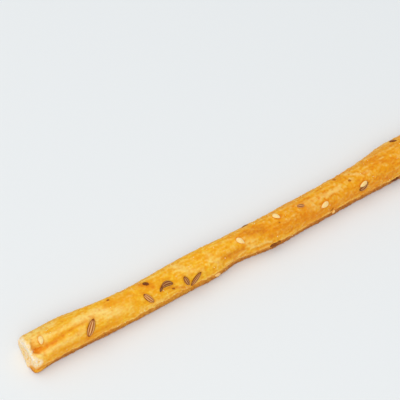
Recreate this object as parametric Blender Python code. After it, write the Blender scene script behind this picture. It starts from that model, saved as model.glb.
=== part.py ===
"""Breadstick: one rope of dough, baked lying on a flat tray and cut square at both ends.

Metres, +Z up. The stick lies along X on its flat underside, with the middle of its box at X = Y = 0
and the underside at Z = 0. At the near end, -X, the seam of the rolled dough stays open as a fold.
Measures are in millimetres until the last step. An outline's angle runs from the back, +Y, over the
top to the front, -Y, and back below.
"""

import math

import bmesh
import bpy
from mathutils import Vector, noise

MM = 0.001

# The stick as a whole.
LENGTH = 185.0
HEIGHT = 10.1
HALF_WIDTH = 5.45
NEAR_END = -LENGTH / 2
FAR_END = LENGTH / 2

# Swells and waists, each (place along X, reach, size): hand-rolled dough is never even.
FRONT_SWELLS = (
    (-93.0, 6.0, 0.4),
    (-52.0, 22.0, 0.6),
    (-22.0, 7.0, 0.4),
    (-11.0, 6.0, -1.4),
    (6.0, 8.0, 0.6),
    (37.0, 9.0, -0.3),
    (60.0, 26.0, -0.6),
)
BACK_SWELLS = (
    (-93.0, 6.0, 0.3),
    (-83.0, 16.0, 1.4),
    (-53.0, 13.0, -1.5),
    (-27.0, 9.0, 0.3),
    (0.0, 20.0, -0.8),
    (67.0, 19.5, 3.7),
)
TOP_SWELLS = ((-84.0, 18.0, 0.5), (-30.0, 12.0, -0.3), (18.0, 16.0, 0.2), (70.0, 22.0, 1.4))

# The outline: widest low down, round above, and with steep sides that stand on a broad flat base.
WIDEST_AT = 0.3
MIDDLE_AT = 0.43
TOP_SQUARENESS = 2.2
BASE_SQUARENESS = 3.1
BASE_SINK = 0.5

# Low lumps all over the crust, which die out towards the flat base.
LUMP_SIZE = 0.3
LUMP_LENGTH = 9.0
LUMP_TURNS = 1.4
LUMP_FADE_HEIGHT = 2.5

# The open fold: a crease along the top front that starts as a pocket just inside the near end.
FOLD_LENGTH = 28.0
FOLD_ANGLE = math.radians(125.0)
FOLD_DRIFT = math.radians(-10.0)
CREASE_DEPTH = 0.8
CREASE_HALF_WIDTH = 1.1
POCKET_DEPTH = 2.2
POCKET_HALF_WIDTH = 1.9
POCKET_AT = 2.6
POCKET_WALL = 1.8
POCKET_RAMP = 5.0

# The cut ends: a rounded edge, and a face that leans back a little, slightly hollow and uneven.
EDGE_ROUND = 0.7
EDGE_STEPS = 2
EDGE_INSET = 0.09
FACE_RINGS = 5
FACE_LEAN = 0.06
LEAN_REACH = 5.0
FACE_HOLLOW = 0.35
FACE_ROUGHNESS = 0.3
FACE_GRAIN = 3.0

# How finely the skin is divided.
AROUND = 44
FOLD_STEPS = 17
BODY_STEPS = 46
MERGE_DISTANCE = 1e-4

CRUST_COLOUR = (0.871, 0.413, 0.042, 1.0)
CRUST_ROUGHNESS = 0.5


def clear_scene():
    """Remove every object of the open scene."""
    for old in list(bpy.data.objects):
        bpy.data.objects.remove(old, do_unlink=True)


def bell(distance, reach):
    """Smooth bell that is 1 at no distance and fades out past its reach."""
    return math.exp(-((distance / reach) ** 2))


def swell(x, swells):
    """Sum of smooth bells at x, each given as (place, reach, size)."""
    return sum(size * bell(x - place, reach) for place, reach, size in swells)


def signed_power(value, power):
    """The value's size raised to a power, with its sign kept."""
    return math.copysign(abs(value) ** power, value)


def fold_depth(x, angle):
    """How deep the fold cuts into the outline at a place along and around the stick."""
    along = x - NEAR_END
    if along > FOLD_LENGTH:
        return 0.0
    share = along / FOLD_LENGTH
    aside = (angle - FOLD_ANGLE - FOLD_DRIFT * share) * HALF_WIDTH
    fade = 1.0 - share * share * (3.0 - 2.0 * share)
    crease = CREASE_DEPTH * fade * bell(aside, CREASE_HALF_WIDTH)
    reach = POCKET_WALL if along < POCKET_AT else POCKET_RAMP
    pocket = POCKET_DEPTH * bell(along - POCKET_AT, reach) * bell(aside, POCKET_HALF_WIDTH)
    return crease + pocket


def outline_point(x, angle):
    """Point (y, z) of the stick's outline at x, before lumps and fold."""
    across = math.cos(angle)
    upward = math.sin(angle)
    power = 2.0 / (TOP_SQUARENESS if upward >= 0.0 else BASE_SQUARENESS)
    swells = BACK_SWELLS if across > 0.0 else FRONT_SWELLS
    half_width = HALF_WIDTH + swell(x, swells)
    height = HEIGHT + swell(x, TOP_SWELLS)
    middle = WIDEST_AT * height
    reach = height - middle if upward >= 0.0 else middle + BASE_SINK
    y = signed_power(across, power) * half_width
    z = middle + signed_power(upward, power) * reach
    return y, z


def outline_middle(x):
    """Point (y, z) inside the outline at x that lumps, fold and end faces are measured from."""
    y = (swell(x, BACK_SWELLS) - swell(x, FRONT_SWELLS)) / 2.0
    return y, MIDDLE_AT * (HEIGHT + swell(x, TOP_SWELLS))


def skin_point(x, angle):
    """Point of the finished crust at a place along and around the stick."""
    y, z = outline_point(x, angle)
    middle_y, middle_z = outline_middle(x)
    inward = Vector((0.0, middle_y - y, middle_z - z)).normalized()
    spot = (x / LUMP_LENGTH, LUMP_TURNS * math.cos(angle), LUMP_TURNS * math.sin(angle))
    fade = min(max(z / LUMP_FADE_HEIGHT, 0.0), 1.0)
    lump = LUMP_SIZE * fade * noise.noise(Vector(spot))
    point = Vector((x, y, z)) + inward * (fold_depth(x, angle) - lump)
    point.z = max(point.z, 0.0)
    return point


def end_point(end, share, setback, angle):
    """Point of an end: share 1 is the crust, share 0 the middle of the cut face."""
    inward = 1.0 if end < 0.0 else -1.0
    rim = skin_point(end + inward * EDGE_ROUND, angle)
    middle_y, middle_z = outline_middle(rim.x)
    y = middle_y + (rim.y - middle_y) * share
    z = middle_z + (rim.z - middle_z) * share
    grain = noise.noise(Vector((y, z, end)) / FACE_GRAIN)
    rough = FACE_ROUGHNESS * max(0.0, 1.0 - share) * (1.0 + grain)
    hollow = FACE_HOLLOW * (1.0 - share * share)
    return Vector((end + inward * (setback + rough + hollow), y, z))


def leaned(point):
    """The point moved along the stick, so that the cut faces lean back towards their tops."""
    near = bell(point.x - NEAR_END, LEAN_REACH)
    far = bell(point.x - FAR_END, LEAN_REACH)
    return point + Vector((FACE_LEAN * point.z * (near - far), 0.0, 0.0))


def end_rings(end):
    """The rings of an end from its middle outwards, each (end, share of the outline, setback)."""
    face = [(end, (1.0 - EDGE_INSET) * i / FACE_RINGS, 0.0) for i in range(FACE_RINGS + 1)]
    edge = []
    for i in range(1, EDGE_STEPS + 1):
        turn = math.radians(90.0) * i / (EDGE_STEPS + 1)
        share = 1.0 - EDGE_INSET * (1.0 - math.sin(turn))
        edge.append((end, share, EDGE_ROUND * (1.0 - math.cos(turn))))
    return face + edge


def stations():
    """Places along X where the crust's outline is drawn, closer together over the fold."""
    start = NEAR_END + EDGE_ROUND
    turn = NEAR_END + FOLD_LENGTH
    stop = FAR_END - EDGE_ROUND
    fold = [start + (turn - start) * i / FOLD_STEPS for i in range(FOLD_STEPS)]
    body = [turn + (stop - turn) * i / BODY_STEPS for i in range(BODY_STEPS + 1)]
    return fold + body


def ring_makers():
    """For each ring from the near end to the far end, a function from angle to point."""
    makers = [lambda angle, ring=ring: end_point(*ring, angle) for ring in end_rings(NEAR_END)]
    makers += [lambda angle, x=x: skin_point(x, angle) for x in stations()]
    far = reversed(end_rings(FAR_END))
    makers += [lambda angle, ring=ring: end_point(*ring, angle) for ring in far]
    return makers


def rolled_skin():
    """A flat grid rolled into the stick: one closed skin with both cut faces."""
    makers = ring_makers()
    rows = len(makers) - 1
    bm = bmesh.new()
    bmesh.ops.create_grid(bm, x_segments=AROUND, y_segments=rows, size=0.5)
    for vert in bm.verts:
        angle = math.tau * (vert.co.x + 0.5)
        row = round((vert.co.y + 0.5) * rows)
        vert.co = leaned(makers[row](angle))
    bmesh.ops.remove_doubles(bm, verts=bm.verts, dist=MERGE_DISTANCE)
    bmesh.ops.recalc_face_normals(bm, faces=bm.faces)
    return bm


def centre_box(bm):
    """Move the skin so that its box is centred on X = Y = 0; its underside is at Z = 0 already."""
    for axis in (0, 1):
        values = [vert.co[axis] for vert in bm.verts]
        middle = (min(values) + max(values)) / 2.0
        for vert in bm.verts:
            vert.co[axis] -= middle


def crust_material():
    """Golden baked crust."""
    material = bpy.data.materials.new("baked_crust")
    material.use_nodes = True
    shader = material.node_tree.nodes["Principled BSDF"]
    shader.inputs["Base Color"].default_value = CRUST_COLOUR
    shader.inputs["Roughness"].default_value = CRUST_ROUGHNESS
    shader.inputs["Metallic"].default_value = 0.0
    return material


def build_breadstick():
    """The whole stick as one named object."""
    bm = rolled_skin()
    centre_box(bm)
    bmesh.ops.scale(bm, vec=Vector((MM, MM, MM)), verts=bm.verts)
    mesh = bpy.data.meshes.new("breadstick")
    bm.to_mesh(mesh)
    bm.free()
    mesh.shade_smooth()
    mesh.materials.append(crust_material())
    stick = bpy.data.objects.new("breadstick", mesh)
    bpy.context.scene.collection.objects.link(stick)
    return stick


clear_scene()
build_breadstick()
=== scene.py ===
"""Looks of the baked breadstick: crust, crumb, seeds and salt, with a floor, light and a camera.

Lengths inside the classes are millimetres in the stick's own frame. The stick lies along X, its back
is +Y and its flat underside is at Z = 0. An angle round the stick runs from the back over the top.
"""

import logging
import math
import random
from dataclasses import dataclass
from enum import Enum
from typing import Any, Iterable, Optional, Sequence, Union

import bmesh
import bpy
import numpy as np
from mathutils import Matrix, Vector, noise
from mathutils.bvhtree import BVHTree


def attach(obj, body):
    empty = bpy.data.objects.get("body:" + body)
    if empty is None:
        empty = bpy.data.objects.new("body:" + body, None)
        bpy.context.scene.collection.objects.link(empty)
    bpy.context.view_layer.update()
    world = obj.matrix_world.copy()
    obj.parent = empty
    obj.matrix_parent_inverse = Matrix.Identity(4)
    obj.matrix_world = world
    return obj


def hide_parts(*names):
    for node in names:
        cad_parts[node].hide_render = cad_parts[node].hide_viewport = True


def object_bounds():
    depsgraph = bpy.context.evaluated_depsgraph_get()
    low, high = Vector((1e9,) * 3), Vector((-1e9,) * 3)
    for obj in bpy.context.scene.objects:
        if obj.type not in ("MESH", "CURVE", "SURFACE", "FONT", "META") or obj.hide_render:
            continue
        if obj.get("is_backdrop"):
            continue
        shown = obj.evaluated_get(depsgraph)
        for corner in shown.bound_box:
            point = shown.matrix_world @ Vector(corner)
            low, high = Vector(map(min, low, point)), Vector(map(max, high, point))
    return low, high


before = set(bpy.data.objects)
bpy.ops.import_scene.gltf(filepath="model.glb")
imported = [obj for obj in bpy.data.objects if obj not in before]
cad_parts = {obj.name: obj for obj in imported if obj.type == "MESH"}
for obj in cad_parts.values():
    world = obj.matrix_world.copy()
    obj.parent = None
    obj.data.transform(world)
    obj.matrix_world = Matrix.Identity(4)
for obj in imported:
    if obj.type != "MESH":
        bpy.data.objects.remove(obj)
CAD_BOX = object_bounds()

Array = np.ndarray
Triple = tuple[float, float, float]
Colour = tuple[float, float, float, float]
Spot = tuple[float, float]
Range = tuple[float, float]
LOG = logging.getLogger("breadstick")
MM = 0.001
NODE = "breadstick"
BODY = "root"
MERGE = 1e-4


# ---------------------------------------------------------------- small helpers


def linear(level: float) -> float:
    """One channel of a colour, from screen level, 0 to 255, to light."""
    share = level / 255.0
    return share / 12.92 if share <= 0.04045 else ((share + 0.055) / 1.055) ** 2.4


def srgb(red: int, green: int, blue: int) -> Colour:
    """A screen colour, 0 to 255 a channel, as the linear colour that a shader takes."""
    return linear(red), linear(green), linear(blue), 1.0


def smoothstep(low: float, high: float, values: Array) -> Array:
    """0 below low, 1 above high and a smooth rise between them; high may be the lower of the two."""
    share = np.clip((values - low) / (high - low), 0.0, 1.0)
    return share * share * (3.0 - 2.0 * share)


def bell(distance: Array, reach: float) -> Array:
    """1 at no distance, fading out smoothly past the reach."""
    return np.exp(-((distance / reach) ** 2))


def unit(vectors: Array) -> Array:
    """Each row scaled to length 1."""
    return vectors / np.maximum(np.linalg.norm(vectors, axis=-1, keepdims=True), 1e-12)


def smoothed(grid: Array, cells: float, axis: int, wrap: bool) -> Array:
    """A grid of points blurred along one of its axes.

    Args:
        grid: rows by columns by three.
        cells: width of the blur.
        axis: the axis that it runs along.
        wrap: whether the axis closes on itself.

    Returns:
        The blurred grid.
    """
    reach = int(3.0 * cells) + 1
    weights = np.exp(-0.5 * (np.arange(-reach, reach + 1) / cells) ** 2)
    weights /= weights.sum()
    pad = [(0, 0)] * grid.ndim
    pad[axis] = (reach, reach)
    if wrap:
        wide = np.pad(grid, pad, mode="wrap")
    else:
        wide = np.pad(grid, pad, mode="reflect", reflect_type="odd")
    count = grid.shape[axis]
    shifted = (np.take(wide, range(i, i + count), axis=axis) for i in range(len(weights)))
    return sum(weight * part for weight, part in zip(weights, shifted))


def route_distance(points: Array, route: Sequence[Vector]) -> Array:
    """Distance from many places to a route of straight runs.

    Args:
        points: places, in rows of three.
        route: the route's corners.

    Returns:
        One distance for each place.
    """
    best = np.full(len(points), np.inf)
    for start, end in zip(route[:-1], route[1:]):
        origin, run = np.array(start), np.array(end - start)
        share = np.clip((points - origin) @ run / max(run @ run, 1e-9), 0.0, 1.0)
        gap = points - origin - share[:, None] * run
        best = np.minimum(best, np.einsum("ij,ij->i", gap, gap))
    return np.sqrt(best)


def rolled_grid(bm: bmesh.types.BMesh, along: int, around: int) -> list[tuple]:
    """A flat grid that is to be rolled into a closed body with a pole at each end.

    Args:
        bm: takes the grid.
        along: cells from pole to pole.
        around: cells round the body.

    Returns:
        Each corner with its share of the way along, 0 to 1, and its angle round the body.
    """
    made = bmesh.ops.create_grid(bm, x_segments=around, y_segments=along, size=0.5)["verts"]
    shares = [min(max(vert.co.y + 0.5, 0.0), 1.0) for vert in made]
    return [(vert, share, math.tau * (vert.co.x + 0.5)) for vert, share in zip(made, shares)]


def mask_layer(bm: bmesh.types.BMesh, name: str) -> bmesh.types.BMLayerItem:
    """The mesh's layer for a mask, made if it isn't there yet."""
    return bm.verts.layers.float.get(name) or bm.verts.layers.float.new(name)


def closed_piece(bm: bmesh.types.BMesh, name: str, material: bpy.types.Material) -> bpy.types.Object:
    """Close a mesh's seams, turn it to metres and make it a piece that stands where it is.

    Args:
        bm: the mesh in millimetres, which is freed.
        name: name of the piece.
        material: its finish.

    Returns:
        The new object.
    """
    bmesh.ops.remove_doubles(bm, verts=bm.verts, dist=MERGE)
    bmesh.ops.recalc_face_normals(bm, faces=bm.faces)
    bmesh.ops.scale(bm, vec=Vector((MM, MM, MM)), verts=bm.verts)
    mesh = bpy.data.meshes.new(name)
    bm.to_mesh(mesh)
    bm.free()
    mesh.shade_smooth()
    mesh.materials.append(material)
    piece = bpy.data.objects.new(name, mesh)
    bpy.context.scene.collection.objects.link(piece)
    return piece


# ---------------------------------------------------------------- shader arithmetic


class Signal:
    """An output of a shader node, which Python arithmetic turns into Math nodes."""

    def __init__(self, graph: "Graph", socket: bpy.types.NodeSocket) -> None:
        """Keep the socket and the graph that it is in."""
        self.graph = graph
        self.socket = socket

    def _math(self, operation: str, first: "Value", second: "Value") -> "Signal":
        """Add one Math node."""
        return self.graph.node("ShaderNodeMath", {"operation": operation}, {0: first, 1: second})

    def __add__(self, other: "Value") -> "Signal":
        """Sum."""
        return self._math("ADD", self, other)

    def __sub__(self, other: "Value") -> "Signal":
        """Difference."""
        return self._math("SUBTRACT", self, other)

    def __rsub__(self, other: "Value") -> "Signal":
        """Difference, with the signal taken off a number."""
        return self._math("SUBTRACT", other, self)

    def __mul__(self, other: "Value") -> "Signal":
        """Product."""
        return self._math("MULTIPLY", self, other)

    __radd__ = __add__
    __rmul__ = __mul__

    def rise(self, low: float, high: float) -> "Signal":
        """0 below low, 1 above high and a smooth rise between them."""
        settings = {"interpolation_type": "SMOOTHSTEP"}
        return self.graph.node("ShaderNodeMapRange", settings, {0: self, 1: low, 2: high})

    def clamped(self) -> "Signal":
        """The signal kept between 0 and 1."""
        return self.graph.node("ShaderNodeClamp", {}, {0: self})


Value = Union[Signal, float]
Paint = Union[Signal, Colour]


class Graph:
    """A material's nodes, with one method that adds any kind of them."""

    def __init__(self, name: str) -> None:
        """Start a material that holds one Principled shader.

        Args:
            name: name of the material.
        """
        self.material = bpy.data.materials.new(name)
        self.material.use_nodes = True
        self.tree = self.material.node_tree
        self.shader = self.tree.nodes["Principled BSDF"]

    def feed(self, socket: bpy.types.NodeSocket, value: Any) -> None:
        """Give a socket its value.

        Args:
            socket: the socket.
            value: a signal, which is linked, or the socket's own value.
        """
        if isinstance(value, Signal):
            self.tree.links.new(value.socket, socket)
        else:
            socket.default_value = value

    def node(self, kind: str, settings: dict, inputs: dict, output: Union[int, str] = 0) -> Signal:
        """Add a node.

        Args:
            kind: Blender's name for it.
            settings: its own options.
            inputs: values or signals by the socket's name or number.
            output: the socket to read.

        Returns:
            The chosen output.
        """
        made = self.tree.nodes.new(kind)
        for name, value in settings.items():
            setattr(made, name, value)
        for key, value in inputs.items():
            self.feed(made.inputs[key], value)
        return Signal(self, made.outputs[output])

    def mask(self, name: str) -> Signal:
        """One of the values that the mesh carries for each corner."""
        return self.node("ShaderNodeAttribute", {"attribute_name": name}, {}, "Fac")

    def grain(self, size: float, stretch: float, seed: float) -> Signal:
        """Noise from 0 to 1 that stays put on the object.

        Args:
            size: how long its lumps are, in millimetres.
            stretch: how much longer they are along the stick.
            seed: moves the pattern.

        Returns:
            The noise.
        """
        place = self.node("ShaderNodeTexCoord", {}, {}, "Object")
        across = 1.0 / (size * MM)
        inputs = {0: place, 1: (seed, seed, seed), 3: (across / stretch, across, across)}
        moved = self.node("ShaderNodeMapping", {}, inputs)
        return self.node("ShaderNodeTexNoise", {}, {"Vector": moved, "Scale": 1.0, "Detail": 2.0}, "Fac")

    def blend(self, share: Value, first: Paint, second: Paint) -> Signal:
        """The first colour where share is 0 or less, and the second where it is 1 or more."""
        settings = {"data_type": "RGBA", "clamp_factor": True}
        return self.node("ShaderNodeMix", settings, {0: share, 6: first, 7: second}, 2)

    def bump(self, height: Signal, depth: float) -> Signal:
        """A normal that tilts with a height from 0 to 1, 1 being as deep as depth millimetres."""
        return self.node("ShaderNodeBump", {}, {"Height": height, "Distance": depth * MM}, "Normal")

    def dress(self, sockets: dict[str, Any]) -> bpy.types.Material:
        """Feed the shader's sockets.

        Args:
            sockets: values or signals by the socket's name.

        Returns:
            The material.
        """
        for name, value in sockets.items():
            self.feed(self.shader.inputs[name], value)
        return self.material


# ---------------------------------------------------------------- finishes


@dataclass(frozen=True)
class Finish:
    """What all finishes share, with depths in millimetres.

    Attributes:
        name: name of the material.
        gloss: how strongly it reflects.
        relief: depth of its finest grain.
        glow: share of the light that goes in and comes out again close by.
        glow_depth, glow_tint: how far that light goes, and how far its red, green and blue go of it.
    """

    name: str = "finish"
    gloss: float = 0.5
    relief: float = 0.03
    glow: float = 0.0
    glow_depth: float = 1.0
    glow_tint: Triple = (1.0, 0.2, 0.1)

    def paint(self, graph: Graph) -> tuple[Paint, Value, Optional[Signal]]:
        """The surface's colour, its roughness, and its height from 0 to 1 if it has a grain."""
        raise NotImplementedError

    def build(self) -> bpy.types.Material:
        """Make the material.

        Returns:
            The material.
        """
        graph = Graph(self.name)
        colour, roughness, height = self.paint(graph)
        sockets = {
            "Base Color": colour,
            "Roughness": roughness,
            "Specular IOR Level": self.gloss,
            "Subsurface Weight": self.glow,
            "Subsurface Radius": self.glow_tint,
            "Subsurface Scale": self.glow_depth * MM,
        }
        if height is not None:
            sockets["Normal"] = graph.bump(height, self.relief)
        return graph.dress(sockets)


@dataclass(frozen=True)
class CrustFinish(Finish):
    """Golden crust, pale where it stretched and brown where it met the tray, with painted highlights and
    shade, and crumb at its ends.
    """

    name: str = "baked_crust"
    gloss: float = 0.15
    relief: float = 0.05
    glow: float = 0.12
    glow_depth: float = 1.2
    glow_tint: Triple = (1.0, 0.5, 0.2)
    gold: Colour = srgb(245, 167, 8)
    straw: Colour = srgb(251, 192, 42)
    cream: Colour = srgb(255, 217, 122)
    amber: Colour = srgb(231, 137, 12)
    brown: Colour = srgb(172, 98, 30)
    crumb: Colour = srgb(255, 244, 224)
    crumb_shade: Colour = srgb(253, 222, 166)
    pore_shade_and_yellow: Colour = srgb(250, 190, 70)

    def crust(self, graph: Graph, fine: Signal, mottle: Signal) -> Signal:
        """Colour of the crust: mottled gold, then paler, amber or brown where the masks say so, which
        hold baking and painted highlights and shade.

        Args:
            graph: the material's nodes.
            fine: its finest mottling.
            mottle: the next coarser one.

        Returns:
            The colour.
        """
        streaks = graph.grain(0.8, 7.0, 7.0)
        drift = graph.grain(9.0, 1.6, 5.0)
        light = mottle * 0.4 + streaks * 0.3 + drift * 0.2 + fine * 0.4
        colour = graph.blend(light.rise(0.52, 0.78), self.gold, self.straw)
        stretched = graph.mask("pale") * (streaks + fine * 1.2 - 0.1)
        colour = graph.blend(stretched, colour, self.cream)
        deep = graph.mask("amber") * (mottle * 1.8 + fine * 2.2 - 1.0)
        colour = graph.blend(deep, colour, self.amber)
        burnt = graph.mask("brown") * (fine * 1.6 + mottle * 0.8 - 0.2)
        return graph.blend(burnt, colour, self.brown)

    def paint(self, graph: Graph) -> tuple[Paint, Value, Optional[Signal]]:
        """Crust with crumb at the ends, matt where it is bare and pitted there, its sunk pits painted
        darker as their shade.

        Args:
            graph: the material's nodes.

        Returns:
            Its colour, roughness and height.
        """
        fine = graph.grain(0.6, 1.6, 3.0)
        mottle = graph.grain(1.9, 1.6, 11.0)
        pits = graph.grain(0.75, 1.0, 17.0).rise(0.42, 0.62)
        bare = graph.mask("crumb")
        # The crumb's sunk pits take crumb_shade: painted shade in them, with a golden speckle.
        bread = graph.blend(pits, self.crumb, self.crumb_shade)
        bread = graph.blend(graph.mask("pore_shade_and_yellow"), bread, self.pore_shade_and_yellow)
        colour = graph.blend(bare, self.crust(graph, fine, mottle), bread)
        matt = graph.mask("pale") * 0.12 + bare * 0.35 + fine * 0.1 - graph.mask("amber") * 0.06
        height = fine * 0.6 + graph.grain(0.22, 1.0, 23.0) * 0.4 - bare * pits * 1.2
        return colour, (0.46 + matt).clamped(), height


@dataclass(frozen=True)
class CarawayFinish(Finish):
    """Brown seed with pale ribs, each a little darker or lighter than the next, and painted lighter on
    top than on its sides as light and shade.
    """

    name: str = "caraway"
    gloss: float = 0.06
    furrow: Colour = srgb(108, 48, 14)
    furrow_light: Colour = srgb(176, 94, 30)
    rib: Colour = srgb(250, 196, 130)

    def paint(self, graph: Graph) -> tuple[Paint, Value, Optional[Signal]]:
        """Brown furrows, and ribs that are paler on the lighter seeds and on each seed's top, where
        light is painted.

        Args:
            graph: the material's nodes.

        Returns:
            Its colour, roughness and height.
        """
        shade = graph.mask("shade")
        grit = graph.grain(0.25, 3.0, 2.0)
        furrows = graph.blend(shade, self.furrow, self.furrow_light)
        ribbed = graph.mask("rib") * (0.45 + grit * 0.8) * (0.45 + shade * 0.8)
        return graph.blend(ribbed, furrows, self.rib), 0.6 + grit * 0.2, grit


@dataclass(frozen=True)
class SesameFinish(Finish):
    """Ivory seed, browner at its tip, and some seeds toasted all over."""

    name: str = "sesame"
    gloss: float = 0.3
    glow: float = 0.15
    glow_depth: float = 0.6
    glow_tint: Triple = (1.0, 0.7, 0.4)
    ivory: Colour = srgb(255, 223, 156)
    husk: Colour = srgb(254, 212, 132)
    toasted: Colour = srgb(255, 196, 106)
    tip: Colour = srgb(238, 178, 104)

    def paint(self, graph: Graph) -> tuple[Paint, Value, Optional[Signal]]:
        """Mottled ivory, toasted by its shade and browner at the tip.

        Args:
            graph: the material's nodes.

        Returns:
            Its colour, roughness and height.
        """
        grit = graph.grain(0.5, 1.0, 4.0)
        colour = graph.blend(grit.rise(0.35, 0.7), self.ivory, self.husk)
        colour = graph.blend(graph.mask("shade"), colour, self.toasted)
        return graph.blend(graph.mask("tip"), colour, self.tip), 0.4 + grit * 0.15, grit


@dataclass(frozen=True)
class ToastedFinish(Finish):
    """Dark crumbs and seed fragments that caught in the oven."""

    name: str = "toasted"
    gloss: float = 0.2
    relief: float = 0.06
    dark: Colour = srgb(98, 46, 12)
    warm: Colour = srgb(146, 78, 24)
    light: Colour = srgb(212, 124, 12)

    def paint(self, graph: Graph) -> tuple[Paint, Value, Optional[Signal]]:
        """Mottled dark brown, lighter by its shade.

        Args:
            graph: the material's nodes.

        Returns:
            Its colour, roughness and height.
        """
        grit = graph.grain(0.35, 1.0, 6.0)
        colour = graph.blend(grit.rise(0.35, 0.65), self.dark, self.warm)
        return graph.blend(graph.mask("shade"), colour, self.light), 0.55 + grit * 0.2, grit


@dataclass(frozen=True)
class SaltFinish(Finish):
    """White, slightly see-through grains."""

    name: str = "salt"
    glow: float = 0.2
    glow_depth: float = 0.3
    white: Colour = srgb(253, 238, 205)
    honey: Colour = srgb(251, 214, 140)

    def paint(self, graph: Graph) -> tuple[Paint, Value, Optional[Signal]]:
        """White with a tinge of the crust behind it, and smooth."""
        grit = graph.grain(0.2, 1.0, 8.0)
        return graph.blend(grit, self.white, self.honey), 0.2 + grit * 0.2, None


@dataclass(frozen=True)
class FloorFinish(Finish):
    """Plain pale floor."""

    name: str = "pale_floor"
    gloss: float = 0.1
    white: Colour = (0.858, 0.868, 0.873, 1.0)

    def paint(self, graph: Graph) -> tuple[Paint, Value, Optional[Signal]]:
        """One even, matt colour."""
        return self.white, 0.9, None


# ---------------------------------------------------------------- the photo's view


@dataclass(frozen=True)
class PhotoCamera:
    """The camera that saw the stick, in metres and degrees, and the ruler that spots are read with.

    Attributes:
        heading: how far it is turned to the right of straight ahead, +Y.
        elevation: how far it looks down.
        distance, target: how far it stands from the place that it looks at.
        lens, sensor: focal length and width of the sensor, in millimetres.
        clip: how near and how far it sees.
        side: width and height of the photo, in pixels.
        ruler_start, ruler_end: the pixels that the ruler joins, the first at the near end.
    """

    heading: float = 33.22
    elevation: float = 50.0
    distance: float = 0.4993
    target: Triple = (-0.00624, 0.02606, 0.0)
    lens: float = 124.0
    sensor: float = 36.0
    clip: Range = (0.01, 20.0)
    side: float = 400.0
    ruler_start: Spot = (30.0, 355.0)
    ruler_end: Spot = (400.0, 165.0)

    def axes(self) -> tuple[Vector, Vector, Vector]:
        """Which way the camera looks.

        Returns:
            Its right, up and forward directions.
        """
        turn, tilt = math.radians(self.heading), math.radians(self.elevation)
        right = Vector((math.cos(turn), -math.sin(turn), 0.0))
        level = Vector((math.sin(turn), math.cos(turn), 0.0))
        forward = level * math.cos(tilt) - Vector((0.0, 0.0, math.sin(tilt)))
        return right, right.cross(forward), forward

    def place(self) -> Vector:
        """Where the camera stands, in metres."""
        return Vector(self.target) - self.axes()[2] * self.distance

    def sight(self, along: float, across: float) -> tuple[Vector, Vector]:
        """The line of sight through a spot measured with the ruler.

        Args:
            along: pixels from the ruler's start towards its end.
            across: pixels off the ruler, positive on its lower right side.

        Returns:
            The line's start in millimetres, and its direction.
        """
        start, end = Vector(self.ruler_start), Vector(self.ruler_end)
        ruler = (end - start).normalized()
        spot = start + ruler * along + Vector((-ruler.y, ruler.x)) * across
        right, up, forward = self.axes()
        span = self.side * self.lens / self.sensor
        half = self.side / 2.0
        line = forward + right * ((spot.x - half) / span) - up * ((spot.y - half) / span)
        return self.place() / MM, line.normalized()

    def build(self) -> None:
        """Make the camera and look through it."""
        data = bpy.data.cameras.new("photo_camera")
        data.lens = self.lens
        data.sensor_width = self.sensor
        data.clip_start, data.clip_end = self.clip
        camera = bpy.data.objects.new("photo_camera", data)
        camera.location = self.place()
        camera.rotation_mode = "QUATERNION"
        camera.rotation_quaternion = self.axes()[2].to_track_quat("-Z", "Y")
        bpy.context.scene.collection.objects.link(camera)
        bpy.context.scene.camera = camera


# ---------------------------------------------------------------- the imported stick's shape


@dataclass(frozen=True)
class Seat:
    """Where a topping lies: a spot on the crust with its own directions, in millimetres.

    Attributes:
        origin: the spot.
        along, out: directions of the topping's length, and away from the crust.
        length, width: the topping's size.
        drop: how far the crust bends away below its ends.
        bow: how far the topping bends sideways.
        sink: share of its thickness that lies in the crust.
        shade: which tint of its finish it has, 0 to 1.
    """

    origin: Vector
    along: Vector
    out: Vector
    length: float
    width: float
    drop: float
    bow: float = 0.0
    sink: float = 0.35
    shade: float = 0.4

    def axes(self) -> Matrix:
        """The seat's own directions, along, across and out, as columns."""
        return Matrix((self.along, self.out.cross(self.along), self.out)).transposed()

    def matrix(self) -> Matrix:
        """Carries a topping from its own axes, length on X and up on Z, to the seat."""
        return Matrix.Translation(self.origin) @ self.axes().to_4x4()

    def local(self, points: Array) -> Array:
        """Points seen from the seat's own axes."""
        return (points - np.array(self.origin)) @ np.array(self.axes())


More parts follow.
